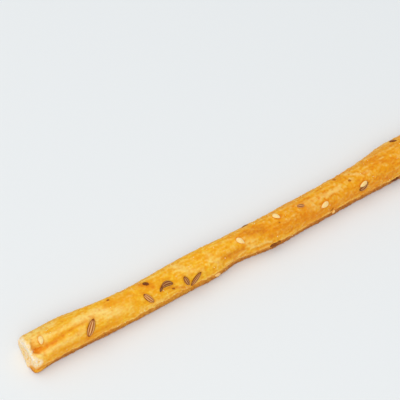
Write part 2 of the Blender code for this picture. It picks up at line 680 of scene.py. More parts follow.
@dataclass
class BakedShape:
    """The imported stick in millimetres, which answers where a line meets it.

    Attributes:
        node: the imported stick.
        spine_count, spine_margin: places on its middle line, and how far inside the ends they begin.
        probe_level, core_level: where its sides are probed and its middle is, as shares of its height.
        spine_blur: how many places the middle line is smoothed over.
        approaches: steps that a line of sight takes to the nearest crust.
    """

    node: bpy.types.Object
    spine_count: int = 70
    spine_margin: float = 2.0
    probe_level: float = 0.4
    core_level: float = 0.44
    spine_blur: float = 1.5
    approaches: int = 30

    def __post_init__(self) -> None:
        """Copy the node's mesh, merged, into a search tree."""
        bm = bmesh.new()
        bm.from_mesh(self.node.data)
        bmesh.ops.scale(bm, vec=Vector((1.0, 1.0, 1.0)) / MM, verts=bm.verts)
        bmesh.ops.remove_doubles(bm, verts=bm.verts, dist=10 * MERGE)
        corners = np.array([vert.co for vert in bm.verts])
        self.low, self.high = corners.min(0), corners.max(0)
        self.tree = BVHTree.FromBMesh(bm)
        bm.free()
        first, last = self.low[0] + self.spine_margin, self.high[0] - self.spine_margin
        self.spine_x = np.linspace(first, last, self.spine_count)
        self.spine_y, self.spine_z = self.spine()

    def spine(self) -> list[Array]:
        """Work out the middle line.

        Returns:
            Its Y and its Z at each of its places.
        """
        level = self.probe_level * self.high[2]
        ys, zs = [], []
        for x in self.spine_x:
            inside = Vector((x, 0.0, level))
            front, back = (self.meet(inside, Vector((0.0, way, 0.0)))[0] for way in (-1.0, 1.0))
            ys.append((front.y + back.y) / 2.0)
            top = self.meet(Vector((x, ys[-1], level)), Vector((0.0, 0.0, 1.0)))[0]
            zs.append(self.core_level * top.z)
        return [smoothed(np.array(values), self.spine_blur, 0, False) for values in (ys, zs)]

    def meet(self, start: Vector, line: Vector) -> tuple[Vector, Vector]:
        """Where a line first meets the stick.

        Args:
            start: where the line starts.
            line: its direction.

        Returns:
            The point and its normal.

        Raises:
            ValueError: if the line misses the stick.
        """
        point, normal, _, _ = self.tree.ray_cast(start, line)
        if point is None:
            raise ValueError(f"no crust from {tuple(start)} along {tuple(line)}")
        return point, normal

    def seen(self, start: Vector, line: Vector) -> tuple[Vector, Vector]:
        """What a line of sight meets, or passes closest to.

        Args:
            start: where the line starts.
            line: its direction.

        Returns:
            The point and its normal.
        """
        point, normal, _, _ = self.tree.ray_cast(start, line)
        if point is not None:
            return point, normal
        point = Vector(self.middle(np.array(0.0)))
        for _ in range(self.approaches):
            place = start + line * (point - start).dot(line)
            point, normal, _, _ = self.tree.find_nearest(place)
        return point, normal

    def middle(self, x: Array) -> Array:
        """Points of the middle line.

        Args:
            x: places along the stick.

        Returns:
            A row of three for each place.
        """
        y = np.interp(x, self.spine_x, self.spine_y)
        z = np.interp(x, self.spine_x, self.spine_z)
        return np.stack((x, y, z), axis=-1)

    def cast(self, starts: Array, lines: Array) -> Array:
        """Where many lines, given in rows of three, meet the stick from the inside."""
        pairs = zip(starts.tolist(), lines.tolist())
        return np.array([self.meet(Vector(start), Vector(line))[0] for start, line in pairs])

    def around(self, x: float, angle: float) -> tuple[Vector, Vector]:
        """Point and normal of the crust at a place along the stick and an angle round it."""
        start = Vector(self.middle(np.array(x)))
        return self.meet(start, Vector((0.0, math.cos(angle), math.sin(angle))))

    def seat(self, middle: tuple[Vector, Vector], ends: Sequence[Vector], **details: float) -> Seat:
        """A seat between two ends that lie on the crust.

        Args:
            middle: point and normal of the crust between them.
            ends: tip and tail.
            details: the seat's width, bow, sink and shade.

        Returns:
            The seat, its drop being how far the crust bends away below it.
        """
        point, normal = middle
        run = ends[1] - ends[0]
        along = run.normalized()
        out = (normal - along * normal.dot(along)).normalized()
        drop = (point - (ends[0] + ends[1]) / 2.0).dot(out)
        return Seat(point, along, out, run.length, drop=max(drop, 0.0), **details)


# ---------------------------------------------------------------- bands of baking


class Tone(Enum):
    """What a band does to the crust's colour, through baking and, in some bands, painted highlights and
    shade.
    """

    PALE = "pale"
    AMBER = "amber"
    BROWN = "brown"


@dataclass(frozen=True)
class Band:
    """A soft band on the crust, read with the photo's ruler.

    Attributes:
        tone: what it does to the colour.
        route: its points, each (along, across) in pixels of the ruler.
        reach: how far it spreads to each side, in millimetres.
        strength: how much of the tone it brings, 0 to 1.
        rise: how far it stands out of the crust, in millimetres.
    """

    tone: Tone
    route: tuple[Spot, ...]
    reach: float
    strength: float
    rise: float = 0.0


PALE, AMBER, BROWN = Tone.PALE, Tone.AMBER, Tone.BROWN

BANDS: tuple[Band, ...] = (
    # The two lobes beside the open fold, and the stretched skin that runs on from them.
    Band(PALE, ((23, -9), (60, -8.5)), 0.9, 0.45, 0.05),
    Band(PALE, ((58, -9), (80, -8.5), (88, -4)), 1.2, 0.9, 0.08),
    Band(PALE, ((9, 5), (30, 5.5), (58, 3.5)), 0.9, 0.65, 0.08),
    Band(PALE, ((76, -5), (86, 0), (98, 2)), 1.5, 0.5),
    Band(PALE, ((8, -14), (20, -9)), 1.7, 0.75),
    Band(PALE, ((8, -19), (34, -18)), 1.2, 0.65),
    Band(PALE, ((6, -13.5), (3.2, -6), (5.2, 2), (9.4, 5)), 0.55, 0.9, 0.45),
    # Amber down the fold's pocket and crease, sunk into the crust: deeper crust colour with painted
    # shade in the groove.
    Band(AMBER, ((6.5, -10), (5.8, -5), (9, 1)), 0.9, 0.5, -0.35),
    Band(AMBER, ((5, -1), (22, 0), (38, -2.5)), 0.8, 0.95, -0.15),
    Band(AMBER, ((38, -2.5), (50, -4), (66, -4.5)), 0.45, 0.55, -0.12),
    Band(AMBER, ((20, 11), (60, 11), (92, 10)), 1.1, 0.45),
    Band(AMBER, ((58, 12.5), (63, 10)), 0.8, 0.7),
    # Left of the middle.
    Band(PALE, ((94, -1), (112, 5)), 1.4, 0.3),
    Band(AMBER, ((92, -10), (116, -7)), 1.6, 0.35),
    Band(AMBER, ((130, -12), (140, -6)), 1.2, 0.95),
    Band(PALE, ((134, -14.5), (146, -13)), 0.6, 0.3),
    Band(PALE, ((118, 11), (136, 11), (150, 11.5)), 0.55, 0.4, 0.06),
    Band(AMBER, ((155, 4.5), (161, 7), (172, 12)), 0.55, 0.9, -0.06),
    Band(PALE, ((166, -16), (172, -9), (179, -3)), 1.4, 0.5, 0.05),
    Band(PALE, ((183, -1), (192, 3)), 0.9, 0.35),
    # Middle, with small folds of dough above the lower rim.
    Band(PALE, ((204, -7), (210, 2)), 1.2, 0.3),
    Band(PALE, ((201, -2.5), (209.5, 3.5), (206, 9)), 0.4, 0.6, 0.1),
    Band(AMBER, ((216, 2), (226, 3), (238, 3)), 1.2, 0.7),
    Band(BROWN, ((218, 1.5), (231, 2.4), (238, 3.4)), 0.8, 0.18),
    # These four bands: pale on the small folds' raised ridges and amber in the sunk lines below them,
    # painted highlights and painted shade.
    Band(PALE, ((216, 8.6), (223, 7.8), (229, 7.0), (239, 5.3)), 0.4, 0.9, 0.28),
    Band(AMBER, ((217, 11.0), (229, 9.6), (238, 8.0)), 0.5, 0.5, -0.12),
    Band(PALE, ((243, 1), (247, 5), (252, 6.5), (263, 7.3), (267, 10)), 0.42, 0.85, 0.24),
    Band(AMBER, ((250, 9.4), (262, 10.2)), 0.5, 0.5, -0.12),
    Band(PALE, ((243, -3), (252, 1)), 1.1, 0.35),
    Band(AMBER, ((232, -13), (242, -11)), 1.0, 0.45),
    Band(AMBER, ((248, -10), (262, -7), (268, -3)), 2.1, 0.75),
    Band(BROWN, ((250, -9), (264, -5)), 1.2, 0.22),
    Band(PALE, ((208, -14), (236, -11)), 0.4, 0.3, 0.06),
    # Right of the middle: darker baked, with pale stretch marks.
    Band(AMBER, ((276, 1), (294, 3), (314, 4)), 2.4, 0.65),
    Band(AMBER, ((312, 6), (334, 8), (354, 5)), 1.9, 0.55),
    Band(AMBER, ((358, 3), (380, 6), (404, 4)), 2.0, 0.5),
    Band(AMBER, ((302, -12), (312, -9)), 1.2, 0.6),
    Band(PALE, ((314, -8), (334, -7.5), (352, -7)), 0.8, 0.5, 0.05),
    Band(PALE, ((363, -16.5), (372, -12), (376, -9.5), (385, -9.5)), 0.5, 0.9, 0.12),
    # A short pale streak with a painted highlight on it.
    Band(PALE, ((335, -6.5), (348, -6.5)), 0.7, 0.8, 0.05),
    Band(PALE, ((318, -1), (326, 1)), 0.9, 0.3),
    # Amber along the upper edge here: painted shadow where a neighbouring stick lay against this one.
    Band(AMBER, ((388, -17), (398, -18.5)), 1.1, 0.8),
    Band(AMBER, ((396, -14), (412, -8)), 1.6, 0.5),
)


@dataclass(frozen=True)
class UnseenBands:
    """Bands that are made up where the photo doesn't look.

    Attributes:
        count, seed: how many there are, and what starts their draws.
        back, far_end: where their middles lie, along the stick and round it in degrees.
        stretch: the part of the stick that they stay on.
        lengths, drifts: how far they run along the stick, and round it in radians.
        reaches, strengths: as those of a band.
        pale_share: how many of them are pale, the others being amber.
        pale_rise, amber_rise: how far each stands out of the crust.
    """

    count: int = 45
    seed: int = 41
    back: tuple[Range, Range] = ((-86.0, 88.0), (-30.0, 38.0))
    far_end: tuple[Range, Range] = ((66.0, 88.0), (40.0, 200.0))
    stretch: Range = (-88.0, 90.0)
    lengths: Range = (3.0, 15.0)
    drifts: Range = (-0.35, 0.35)
    reaches: Range = (0.5, 1.7)
    strengths: Range = (0.4, 0.9)
    pale_share: float = 0.55
    pale_rise: float = 0.08
    amber_rise: float = -0.04

    def draw(self, shape: BakedShape) -> Iterable[tuple[Band, list[Vector]]]:
        """Draw them all, two on the back for each on the far end.

        Args:
            shape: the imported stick.

        Returns:
            Each band, and its route's corners on the crust.
        """
        dice = random.Random(self.seed)
        first, last = self.stretch
        steps = [i / 3.0 - 0.5 for i in range(4)]
        for index in range(self.count):
            along, turns = self.back if index % 3 else self.far_end
            x, angle = dice.uniform(*along), math.radians(dice.uniform(*turns))
            length, drift = dice.uniform(*self.lengths), dice.uniform(*self.drifts)
            pale = dice.random() < self.pale_share
            tone, rise = (PALE, self.pale_rise) if pale else (AMBER, self.amber_rise)
            band = Band(tone, (), dice.uniform(*self.reaches), dice.uniform(*self.strengths), rise)
            places = [(min(max(x + length * i, first), last), angle + drift * i) for i in steps]
            yield band, [shape.around(*place)[0] for place in places]


# ---------------------------------------------------------------- what baking did


@dataclass(frozen=True)
class Swell:
    """A soft swell over one measure: where it is highest, how far it spreads, and how high it is."""

    place: float
    reach: float
    size: float = 1.0

    def at(self, values: Array) -> Array:
        """How high it is at each value."""
        return self.size * bell(values - self.place, self.reach)


@dataclass(frozen=True)
class RoundSwell:
    """A soft round swell over two measures: its middle, how far it spreads, and how high it is."""

    middle: Spot
    reach: float
    size: float = 1.0

    def at(self, first: Array, second: Array) -> Array:
        """How high it is at each pair of values."""
        return self.size * bell(np.hypot(first - self.middle[0], second - self.middle[1]), self.reach)


@dataclass(frozen=True)
class BrownRim:
    """The ragged rim where the dough met the tray, in millimetres.

    Attributes:
        top, fade: how high it reaches, and how it ends about that height.
        bubbly: where along the stick it bubbled.
        corner: how much lower it runs next to the near end.
        paler, paler_heights: how far from that end it is paler, and up to what height it is amber.
        glaze, beads, hollow: a stretch painted amber as the hollow's shade, a beaded line painted pale
            as its highlight, and a sunken stretch, all measured from its top.
        lip: height of the lip that runs along the tray.
    """

    top: float = 2.6
    fade: Range = (-0.75, 0.35)
    bubbly: Swell = Swell(-40.0, 22.0)
    corner: Swell = Swell(1.0, 4.0, 1.2)
    paler: Swell = Swell(0.0, 3.0)
    paler_heights: Range = (1.5, 3.5)
    amber_in_hollow: Swell = Swell(0.3, 0.6)
    beads: Swell = Swell(1.0, 0.36)
    hollow: Swell = Swell(-0.2, 0.85, 0.28)
    lip: Swell = Swell(0.55, 0.6)


@dataclass(frozen=True)
class CutEnds:
    """The bare crumb at both ends, and the crust that still covers parts of it, in millimetres.

    Attributes:
        near, far, further: how far from the near end and from the far end the crumb is bare, and
            how much further on the near end's front side.
        front, fade: how high that side's bare part lies, and how the crumb ends at the crust.
        wrap, wrap_size: how far off the middle line crust wraps the lower front, and its half
            width and its height there.
        foot: heights between which the crust ends along the tray.
        tongue: torn bread on the near face, by its place off the middle line and its height.
        knob: a bulge of the wrapping crust, by its distance from the near end and its height.
        yellow_heights, yellow_stretch: heights, and places along the stick, between which the
            crumb's yellower tint fades.
    """

    near: float = 1.35
    far: float = 1.0
    further: float = 1.9
    front: Swell = Swell(5.6, 2.1)
    fade: Range = (-0.9, 0.6)
    wrap: float = -6.0
    wrap_size: Spot = (3.6, 3.8)
    foot: Range = (0.1, 0.5)
    tongue: RoundSwell = RoundSwell((-1.6, 1.2), 2.6, 0.8)
    knob: RoundSwell = RoundSwell((1.5, 1.6), 2.6, 0.35)
    yellow_heights: Range = (8.0, 3.0)
    yellow_stretch: Range = (20.0, -20.0)


@dataclass(frozen=True)
class PressedSeat:
    """What a topping does to the crust, out from its middle, its own edge being at 1.

    Attributes:
        level: how far from its level, in millimetres, the crust still gives way.
        smooth, dent, collar, ring: where the crust is smoothed, dented and raised, and where amber is
            painted round the topping as its shade.
    """

    level: Swell = Swell(0.0, 1.2)
    smooth: Swell = Swell(0.0, 1.1)
    dent: Swell = Swell(0.0, 0.85, 0.12)
    collar: Swell = Swell(1.4, 0.35, 0.07)
    ring: Swell = Swell(0.95, 0.35)


@dataclass
class Baking:
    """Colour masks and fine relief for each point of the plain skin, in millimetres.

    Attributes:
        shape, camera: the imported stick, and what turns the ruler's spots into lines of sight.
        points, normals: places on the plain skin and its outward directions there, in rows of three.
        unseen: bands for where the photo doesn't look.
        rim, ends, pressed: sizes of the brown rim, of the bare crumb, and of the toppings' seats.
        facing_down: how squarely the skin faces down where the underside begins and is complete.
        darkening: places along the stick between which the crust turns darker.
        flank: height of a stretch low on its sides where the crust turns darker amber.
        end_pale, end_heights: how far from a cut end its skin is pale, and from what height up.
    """

    shape: BakedShape
    camera: PhotoCamera
    points: Array
    normals: Array
    unseen: UnseenBands = UnseenBands()
    rim: BrownRim = BrownRim()
    ends: CutEnds = CutEnds()
    pressed: PressedSeat = PressedSeat()
    facing_down: Range = (0.75, 0.95)
    darkening: Range = (-25.0, 20.0)
    flank: Swell = Swell(2.8, 1.3)
    end_pale: Swell = Swell(0.0, 3.6, 0.6)
    end_heights: Range = (3.5, 5.5)

    def __post_init__(self) -> None:
        """Start with an even, smooth crust."""
        self.x, self.y, self.z = self.points.T
        self.near_gap = self.x - self.shape.low[0]
        self.far_gap = self.shape.high[0] - self.x
        self.side = 1.0 - smoothstep(*self.facing_down, -self.normals[:, 2])
        self.right = smoothstep(*self.darkening, self.x)
        self.patches = self.grain(6.0, 3.0)
        self.warp = 1.0 + 0.45 * self.grain(2.0, 31.0) + 0.35 * self.grain(0.8, 32.0)
        self.height, self.crumb, self.pore_shade_and_yellow = np.zeros((3, len(self.points)))
        self.tones = {tone: np.zeros(len(self.points)) for tone in Tone}

    def grain(self, size: Union[float, Triple], seed: float) -> Array:
        """Smooth noise from about -1 to 1.

        Args:
            size: how long its lumps are, for all axes or for each.
            seed: moves the pattern, so that two calls differ.

        Returns:
            One value for each point.
        """
        spots = self.points / np.asarray(size, float) + np.array((seed, 1.7 * seed, -seed))
        return np.fromiter((noise.noise(spot) for spot in spots.tolist()), float, len(spots))

    def dots(self, spacing: float, radius: float, seed: float) -> Array:
        """Scattered round dots, 1 in their middles and 0 outside.

        Args:
            spacing: how far apart they are.
            radius: how large, as a share of the spacing.
            seed: moves the pattern.

        Returns:
            One value for each point.
        """
        spots = (self.points / spacing + seed).tolist()
        gaps = np.fromiter((noise.voronoi(spot)[0][0] for spot in spots), float, len(spots))
        return np.clip(1.0 - (gaps / radius) ** 2, 0.0, 1.0)

    def add(self, tone: Tone, amount: Array) -> None:
        """Bring more of a tone, where there is still room for it."""
        self.tones[tone] += (1.0 - self.tones[tone]) * np.clip(amount, 0.0, 1.0)

    def deepen(self) -> None:
        """Bake the far half darker, and pale the skin next to the cut ends."""
        self.add(AMBER, 0.34 * self.right * (1.0 + 0.6 * self.patches))
        low_flank = self.flank.at(self.z) * (0.3 + 0.3 * self.patches)
        self.add(AMBER, low_flank * self.side)
        for gap in (self.near_gap, self.far_gap):
            self.add(PALE, self.end_pale.at(gap) * smoothstep(*self.end_heights, self.z))

    def lay(self, band: Band, route: Sequence[Vector]) -> None:
        """Colour and raise one band.

        Args:
            band: its tone, reach, strength and rise.
            route: its corners on the crust.
        """
        share = bell(route_distance(self.points, route) * self.warp, band.reach)
        self.add(band.tone, band.strength * share)
        self.height += band.rise * share

    def lay_bands(self) -> None:
        """Lay the bands that the photo shows, and made-up ones where it doesn't look."""
        for band in BANDS:
            self.lay(band, [self.shape.seen(*self.camera.sight(*spot))[0] for spot in band.route])
        for band, route in self.unseen.draw(self.shape):
            self.lay(band, route)

    def brown_foot(self) -> None:
        """Brown the ragged rim where the dough met the tray, with a lip below it and, above it, a beaded
        line painted pale as a highlight.
        """
        ragged = self.grain((1.5, 5.0, 5.0), 13.0)
        slow = self.grain((8.0, 14.0, 14.0), 15.0)
        fuzz = self.grain(0.55, 17.0)
        bubbly = self.rim.bubbly.at(self.x)
        wavy = (0.45 + 0.35 * bubbly) * ragged
        top = self.rim.top + 0.5 * bubbly + wavy + 0.45 * slow + 0.4 * fuzz
        above = (self.z - top + self.rim.corner.at(self.near_gap)) / (1.0 + 1.3 * bubbly)
        browned = self.side * (1.0 - smoothstep(*self.rim.fade, above))
        paler = self.rim.paler.at(self.near_gap)
        self.add(BROWN, (0.9 - 0.35 * paler - 0.2 * bubbly + 0.25 * fuzz) * browned)
        low = 1.0 - smoothstep(*self.rim.paler_heights, self.z)
        self.add(AMBER, 0.35 * paler * self.side * low)
        # Amber just above the rim's top, inside the hollow that sinks the crust there: painted shade in
        # that hollow.
        self.add(AMBER, 0.75 * self.side * self.rim.amber_in_hollow.at(self.z - top))
        beads = self.dots(1.15, 0.5, 29.0)
        # The beaded ridge above the rim is painted pale and loses its amber: a painted highlight along
        # it.
        line = self.side * self.rim.beads.at(self.z - top) * (1.0 - paler)
        self.add(PALE, line * (0.55 + 0.35 * ragged + 0.35 * beads))
        self.tones[AMBER] *= 1.0 - 0.75 * line
        lip = (0.18 + 0.16 * ragged) * self.rim.lip.at(self.z)
        hollow = self.rim.hollow.at(self.z - top)
        self.height += self.side * (lip - hollow) + line * (0.09 + (0.14 + 0.1 * bubbly) * beads)

    def brown_underside(self) -> None:
        """Brown and pit the side that lay on the tray."""
        under = 1.0 - self.side
        self.add(BROWN, under * (0.6 + 0.3 * self.grain((5.0, 1.6, 1.6), 19.0)))
        self.height -= under * 0.1 * self.dots(1.6, 0.4, 47.0)

    def roughen(self) -> None:
        """Raise lumps, wrinkles and blisters, painted pale on their tops as highlights and amber between
        them as shade.
        """
        wrinkles = self.grain((6.0, 0.9, 0.9), 21.0)
        lumps = self.grain((3.4, 2.6, 2.6), 23.0)
        bumps = self.grain((1.4, 1.0, 1.0), 25.0)
        grit = self.grain(0.7, 26.0)
        where = smoothstep(-0.1, 0.45, self.patches + 0.35 * self.right)
        blister = where * self.dots(1.3, 0.45, 27.0) ** 2
        rough = 0.85 + 0.75 * self.right
        fine = rough * (0.06 * wrinkles + 0.12 * bumps + 0.05 * grit)
        self.height += self.side * (0.09 * lumps + fine + 0.2 * blister)
        # Pale where the relief is highest and amber below it: painted highlights and painted shade on
        # the lumps and blisters.
        crest = rough * (0.6 * bumps + 0.4 * wrinkles + 0.5 * grit) + 0.45 * blister
        self.add(PALE, 0.85 * crest * self.side)
        self.add(AMBER, -1.1 * crest * self.side)

    def open_ends(self) -> None:
        """Bare the crumb at the cut ends, further on the near end's front side."""
        frayed = 0.45 * self.grain(1.4, 33.0) + 0.2 * self.grain(0.6, 35.0)
        front = smoothstep(0.1, 0.9, -self.normals[:, 1]) * self.ends.front.at(self.z)
        near = self.near_gap - self.ends.near - self.ends.further * front - frayed
        far = self.far_gap - self.ends.far - frayed
        aside = self.y - self.shape.middle(self.x)[:, 1]
        half, height = self.ends.wrap_size
        oval = np.hypot((aside - self.ends.wrap) / half, self.z / height)
        wrap = smoothstep(1.1, 0.8, oval + 0.3 * frayed)
        foot = smoothstep(*self.ends.foot, self.z) * (1.0 - wrap)
        self.crumb = foot * (1.0 - smoothstep(*self.ends.fade, np.minimum(near, far)))
        self.tear_crumb(self.ends.tongue.at(aside, self.z) * smoothstep(1.0, -1.0, near))
        self.height += self.ends.knob.at(self.near_gap, self.z) * wrap

    def tear_crumb(self, tongue: Array) -> None:
        """Give the bare crumb its flakes and pores, painting the pores darker as their shade and the
        crumb yellower low down.

        Args:
            tongue: how far torn bread stands out of the near face.
        """
        pores = self.dots(1.15, 0.36, 37.0) * smoothstep(-0.2, 0.4, self.grain(2.0, 41.0))
        small = self.dots(0.55, 0.4, 39.0)
        flakes = 0.2 * self.grain(1.3, 43.0) + 0.05 * self.grain(0.6, 45.0)
        bare = 0.3 * self.grain(3.4, 49.0) + flakes - 0.36 * pores - 0.05 * small + tongue
        self.height = self.height * (1.0 - 0.7 * self.crumb) + self.crumb * bare
        # Yellower towards the bottom of the crumb and towards the near end.
        low = smoothstep(*self.ends.yellow_heights, self.z)
        toasted = 0.42 * low * smoothstep(*self.ends.yellow_stretch, self.x)
        # The sunk pores take most of this tint: painted shade in them.
        self.pore_shade_and_yellow = np.clip(self.crumb * (0.85 * pores + 0.15 * small + toasted), 0.0, 1.0)

    def press_seats(self, seats: Iterable[Seat]) -> None:
        """Sink a shallow dent with a low collar under each topping, and paint amber round it as its
        shade.

        Args:
            seats: where the toppings lie.
        """
        for seat in seats:
            local = seat.local(self.points)
            along = local[:, 0] / (0.5 * seat.length)
            across = local[:, 1] / (0.5 * seat.width)
            out = np.sqrt(along * along + across * across)
            here = self.pressed.level.at(local[:, 2] + seat.drop * along * along)
            self.height *= 1.0 - 0.8 * here * self.pressed.smooth.at(out)
            self.height += here * (self.pressed.collar.at(out) - self.pressed.dent.at(out))
            # Amber round the topping's edge: painted shade where it meets the crust.
            self.add(AMBER, 0.5 * here * self.pressed.ring.at(out))

    def bake(self, seats: Iterable[Seat]) -> dict[str, Array]:
        """Do all of it in order.

        Args:
            seats: where the toppings lie.

        Returns:
            The masks by the names that the finish reads.
        """
        self.deepen()
        self.lay_bands()
        self.brown_foot()
        self.brown_underside()
        self.roughen()
        self.open_ends()
        self.press_seats(seats)
        tones = {tone.value: np.clip(amount, 0.0, 1.0) for tone, amount in self.tones.items()}
        return tones | {"crumb": self.crumb, "pore_shade_and_yellow": self.pore_shade_and_yellow}


# ---------------------------------------------------------------- the bread


@dataclass(frozen=True)
class SkinGrid:
    """A grid of points on the plain skin.

    Attributes:
        points: rows by columns by three.
        way: roughly outward, for all points or for each.
        wrap: whether the columns close on themselves.
    """

    points: Array
    way: Array
    wrap: bool

    def normals(self) -> Array:
        """Outward directions.

        Returns:
            One of length 1 for each point.
        """
        down = np.gradient(self.points, axis=0)
        if self.wrap:
            side = np.roll(self.points, -1, axis=1) - np.roll(self.points, 1, axis=1)
        else:
            side = np.gradient(self.points, axis=1)
        made = unit(np.cross(down, side))
        flip = np.sign(np.einsum("...k,...k->...", made, self.way))[..., None]
        return made * np.where(flip == 0.0, 1.0, flip)

    def lay(self, bm: bmesh.types.BMesh, values: Array, masks: Iterable[str]) -> None:
        """Lay a flat grid over the baked skin.

        Args:
            bm: takes the grid.
            values: X, Y, Z and the masks' values for each of its own points.
            masks: their names.
        """
        rows, columns = values.shape[:2]
        across = columns if self.wrap else columns - 1
        layers = [mask_layer(bm, name) for name in masks]
        made = bmesh.ops.create_grid(bm, x_segments=across, y_segments=rows - 1, size=0.5)["verts"]
        for vert in made:
            column = round((vert.co.x + 0.5) * across) % columns
            value = values[round((vert.co.y + 0.5) * (rows - 1)), column]
            vert.co = value[:3]
            for layer, amount in zip(layers, value[3:]):
                vert[layer] = amount


@dataclass
class BreadSkin:
    """Crust all round and crumb at both cut ends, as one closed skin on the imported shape.

    Attributes:
        shape, camera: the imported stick, and what turns the ruler's spots into lines of sight.
        seats: where toppings press into the crust.
        around: cells round the stick, a multiple of 8 so that the cut faces' edges meet it.
        step: size of a cell along the stick.
        corner_depth, corner_inset: where the crust turns onto a cut face, and from how deep inside.
        corner_steps: cells round a corner.
        fold_stretch, far_stretch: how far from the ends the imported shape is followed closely.
        fine_blur, coarse_blur: cells that the crust is smoothed over, there and elsewhere.
        ring_blur, face_blur: the same round the stick, and on the cut faces.
    """

    shape: BakedShape
    camera: PhotoCamera
    seats: Sequence[Seat]
    around: int = 136
    step: float = 0.29
    corner_depth: float = 2.0
    corner_inset: float = 1.3
    corner_steps: int = 10
    fold_stretch: float = 30.0
    far_stretch: float = 12.0
    fine_blur: float = 2.2
    coarse_blur: float = 7.0
    ring_blur: float = 2.0
    face_blur: float = 1.2

    def __post_init__(self) -> None:
        """Work out the columns' directions and where the corners start."""
        turns = np.arange(self.around) * math.tau / self.around
        self.circle = np.stack((np.zeros_like(turns), np.cos(turns), np.sin(turns)), axis=-1)
        self.start = self.shape.low[0] + self.corner_depth
        self.stop = self.shape.high[0] - self.corner_depth

    def ring(self, x: float) -> Array:
        """The crust's outline at one place along the stick."""
        starts = np.repeat(self.shape.middle(np.array([x])), self.around, axis=0)
        return self.shape.cast(starts, self.circle)

    def core(self, x: float) -> Array:
        """An outline inside the crust, from which corners and faces are reached."""
        return self.ring(x) - self.circle * self.corner_inset

    def corner(self, x: float, way: float) -> list[Array]:
        """Turn from the crust onto a cut face.

        Args:
            x: where the corner starts.
            way: -1 at the near end and 1 at the far end.

        Returns:
            Its rings, the face's side last.
        """
        core = self.core(x)
        rings = []
        for i in range(1, self.corner_steps + 1):
            turn = math.radians(90.0) * i / self.corner_steps
            lines = self.circle * math.cos(turn) + np.array((way * math.sin(turn), 0.0, 0.0))
            rings.append(self.shape.cast(core, lines))
        return rings

    def tube(self) -> Array:
        """The crust from one cut face to the other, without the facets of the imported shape.

        Returns:
            Its rings by their columns by three.
        """
        places = np.linspace(self.start, self.stop, round((self.stop - self.start) / self.step) + 1)
        near = self.corner(self.start, -1.0)[::-1]
        body = [self.ring(x) for x in places]
        far = self.corner(self.stop, 1.0)
        rings = smoothed(np.array(near + body + far), self.ring_blur, 1, True)
        fine = smoothed(rings, self.fine_blur, 0, False)
        coarse = smoothed(rings, self.coarse_blur, 0, False)
        past_fold = smoothstep(self.fold_stretch * 0.6, self.fold_stretch, rings[..., 0] - self.start)
        before_end = smoothstep(self.far_stretch / 3.0, self.far_stretch, self.stop - rings[..., 0])
        share = (past_fold * before_end)[..., None]
        return fine * (1.0 - share) + coarse * share

    def outward(self, tube: Array) -> Array:
        """Roughly outward directions: away from the middle, and endwise at the corners.

        Args:
            tube: the crust's rings.

        Returns:
            One direction for each point.
        """
        x = tube[..., 0]
        away = tube - self.shape.middle(x)
        near = np.minimum(x - x.min() - self.corner_depth, 0.0)
        far = np.maximum(x - x.max() + self.corner_depth, 0.0)
        away[..., 0] = near + far
        return away

    def patch(self) -> tuple[Array, Array]:
        """Bend a square grid into a round one, which covers a cut face without a pole.

        Returns:
            For each point, its share of the way from middle to edge, and its column on the crust.
        """
        steps = np.linspace(-1.0, 1.0, self.around // 4 + 1)
        back, up = np.meshgrid(steps, steps, indexing="ij")
        aside = np.abs(back) >= np.abs(up)
        radius = np.where(aside, back, up)
        safe = np.where(np.abs(radius) < 1e-9, 1.0, radius)
        turn = np.where(aside, math.pi / 4 * up / safe, math.pi / 2 - math.pi / 4 * back / safe)
        turn = np.where(radius < 0.0, turn + math.pi, turn)
        return np.abs(radius), (turn / math.tau * self.around) % self.around

    def face(self, x: float, way: float) -> Array:
        """Stretch the round grid over a cut face.

        Args:
            x: where its corner starts.
            way: -1 at the near end and 1 at the far end.

        Returns:
            The face's points.
        """
        share, column = self.patch()
        core, middle = self.core(x), self.shape.middle(np.array([x]))[0]
        low = np.floor(column).astype(int)
        rest = (column - low)[..., None]
        edge = core[low % self.around] * (1.0 - rest) + core[(low + 1) % self.around] * rest
        starts = middle + (edge - middle) * share[..., None]
        lines = np.broadcast_to(np.array((way, 0.0, 0.0)), starts.shape)
        hits = self.shape.cast(starts.reshape(-1, 3), lines.reshape(-1, 3)).reshape(starts.shape)
        return smoothed(smoothed(hits, self.face_blur, 0, False), self.face_blur, 1, False)

    def build(self) -> bpy.types.Object:
        """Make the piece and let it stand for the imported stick.

        Returns:
            The piece.
        """
        tube = self.tube()
        grids = [SkinGrid(tube, self.outward(tube), True)]
        for x, way in ((self.start, -1.0), (self.stop, 1.0)):
            grids.append(SkinGrid(self.face(x, way), np.array((way, 0.0, 0.0)), False))
        points = np.concatenate([grid.points.reshape(-1, 3) for grid in grids])
        normals = np.concatenate([grid.normals().reshape(-1, 3) for grid in grids])
        baking = Baking(self.shape, self.camera, points, normals)
        masks = baking.bake(self.seats)
        moved = points + normals * baking.height[:, None]
        moved[:, 2] = np.maximum(moved[:, 2], 0.0)
        cuts = np.cumsum([grid.points[..., 0].size for grid in grids])[:-1]
        values = np.split(np.column_stack((moved, *masks.values())), cuts)
        blocks = [block.reshape(*grid.points.shape[:2], -1) for block, grid in zip(values, grids)]
        share, column = self.patch()
        rim = share > 1.0 - 1e-6
        for block, ring in zip(blocks[1:], (0, -1)):
            block[rim] = blocks[0][ring][np.rint(column[rim]).astype(int) % self.around]
        bm = bmesh.new()
        for grid, block in zip(grids, blocks):
            grid.lay(bm, block, masks)
        piece = closed_piece(bm, "bread_crust", CrustFinish().build())
        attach(piece, BODY)
        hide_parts(NODE)
        return piece


# ---------------------------------------------------------------- toppings


@dataclass(frozen=True)
class Read:
    """A topping read with the photo's ruler: tip and tail in pixels, the rest as its seat has it."""

    tip: Spot
    tail: Spot
    width: float
    bow: float = 0.0
    sink: float = 0.35
    shade: float = 0.4


